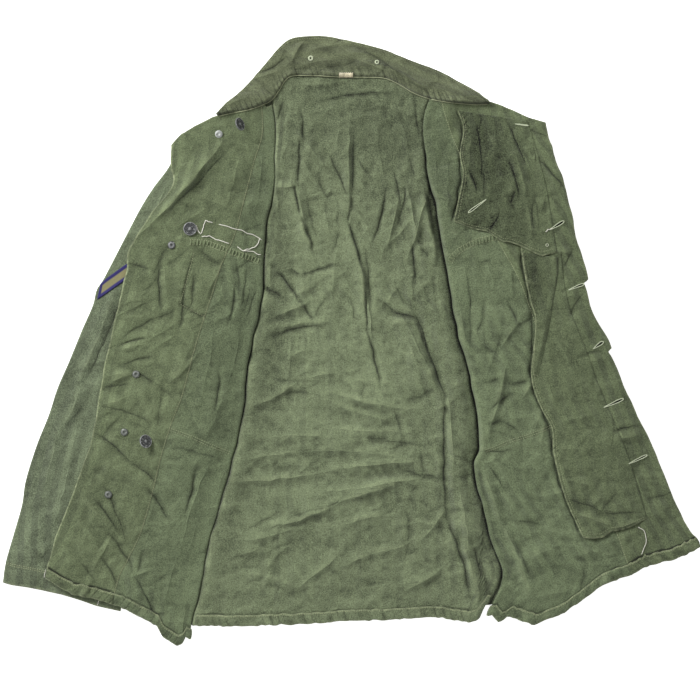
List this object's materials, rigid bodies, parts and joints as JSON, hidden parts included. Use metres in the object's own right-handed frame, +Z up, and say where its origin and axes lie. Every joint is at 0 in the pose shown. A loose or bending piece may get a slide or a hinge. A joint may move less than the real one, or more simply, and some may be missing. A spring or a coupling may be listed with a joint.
{
  "type": "utility shirt",
  "caption": "Olive cotton utility shirt-jacket laid flat on its back, both fronts opened out so the inside faces up.",
  "frame": {"origin": "middle of the garment's floor outline, on the surface it lies on", "axes": "+Y from the hem to the collar, +X to the wearer's left, +Z up from the surface; the inside of the cloth faces up"},
  "size_m": [0.9059, 0.7928, 0.0239],
  "materials": {
    "olive_cotton": "washed herringbone cotton drill, matt, faded along folds",
    "facing_cotton": "the same cotton drill, a little less faded",
    "flap_cotton": "darker thin cotton, pale selvedge",
    "collar_cotton": "two layers of cotton drill, stitched, worn pale at the edge",
    "stripe_braid": "khaki cotton stripe with a purple woven border",
    "label_tape": "blank cream cotton tape, torn",
    "dark_metal": "dark painted tack button, worn to metal on the rim",
    "pale_metal": "dull grey button back"
  },
  "bodies": {
    "root": {"back": "olive_cotton", "front_right": "olive_cotton", "front_left": "olive_cotton", "facing_right": "facing_cotton", "facing_left": "facing_cotton", "pocket_right": "olive_cotton", "pocket_left": "olive_cotton", "pocket_flap_right": "olive_cotton", "pocket_flap_left": "olive_cotton", "sleeve_right": "olive_cotton", "sleeve_left": "olive_cotton", "sleeve_stripe": "stripe_braid", "gas_flap_upper": "flap_cotton", "gas_flap_lower": "flap_cotton", "gas_flap_turnback": "flap_cotton", "collar": "collar_cotton", "neck_label": "label_tape", "button_back_1": "pale_metal", "button_back_2": "pale_metal", "button_back_3": "pale_metal", "button_back_4": "pale_metal", "button_back_5": "pale_metal", "front_button_1": "dark_metal", "front_button_2": "dark_metal", "front_button_3": "dark_metal", "front_button_4": "dark_metal", "front_button_5": "dark_metal", "inside_button_1": "dark_metal", "inside_button_2": "dark_metal", "inside_button_3": "dark_metal"}
  },
  "joints": []
}
